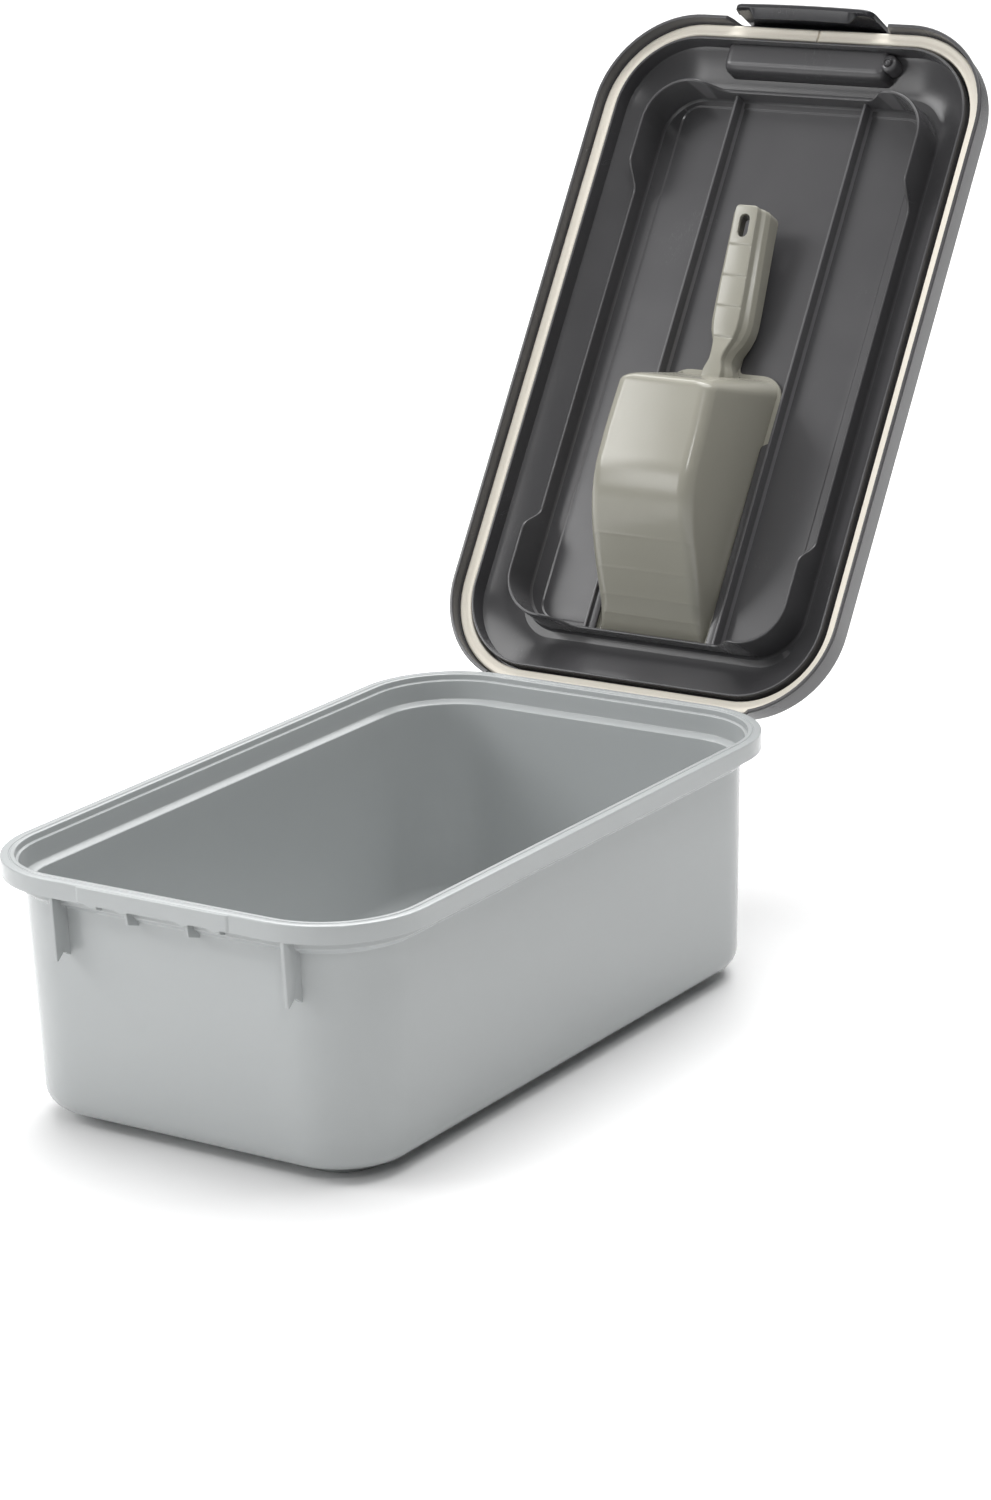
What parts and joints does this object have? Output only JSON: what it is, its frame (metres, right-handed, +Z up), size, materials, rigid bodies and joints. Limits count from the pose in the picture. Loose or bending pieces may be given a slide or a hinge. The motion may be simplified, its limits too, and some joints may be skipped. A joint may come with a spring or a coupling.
{
  "type": "pet food bin",
  "caption": "Stackable pet food bin: rounded tub with foot ring, sealed lid hinged open at one end, snap latch, and a scoop held in rails under the lid.",
  "frame": {"origin": "centre of the foot ring's underside, on the surface the bin stands on", "axes": "+Z up; the latch end faces -Y and the hinge end +Y; +X to the right seen from the latch end"},
  "size_m": [0.2652, 0.6933, 0.5128],
  "materials": {
    "tub_plastic": "glossy moulded polypropylene, cool light grey",
    "lid_plastic": "satin moulded polypropylene, dark grey",
    "seal_rubber": "soft cream rubber, matt",
    "latch_plastic": "glossy black plastic",
    "scoop_plastic": "warm grey satin-gloss plastic"
  },
  "bodies": {
    "tub": {"tub": "tub_plastic"},
    "lid": {"lid": "lid_plastic", "lid_seal": "seal_rubber", "latch_pin": "latch_plastic"},
    "latch": {"latch": "latch_plastic"},
    "scoop": {"scoop": "scoop_plastic"}
  },
  "joints": [
    {"name": "lid_hinge", "type": "hinge", "parent": "tub", "child": "lid", "pos_m": [0, 0.22, 0.1375], "axis": [1, 0, 0], "range_deg": [0, 123]},
    {"name": "latch_pivot", "type": "hinge", "parent": "lid", "child": "latch", "pos_m": [0, 0.46209, 0.47631], "axis": [-1, 0, 0], "range_deg": [0, 90]},
    {"name": "scoop_slide", "type": "slide", "parent": "lid", "child": "scoop", "axis": [0, 0.5446, 0.8387], "range_m": [0, 0.09]}
  ]
}
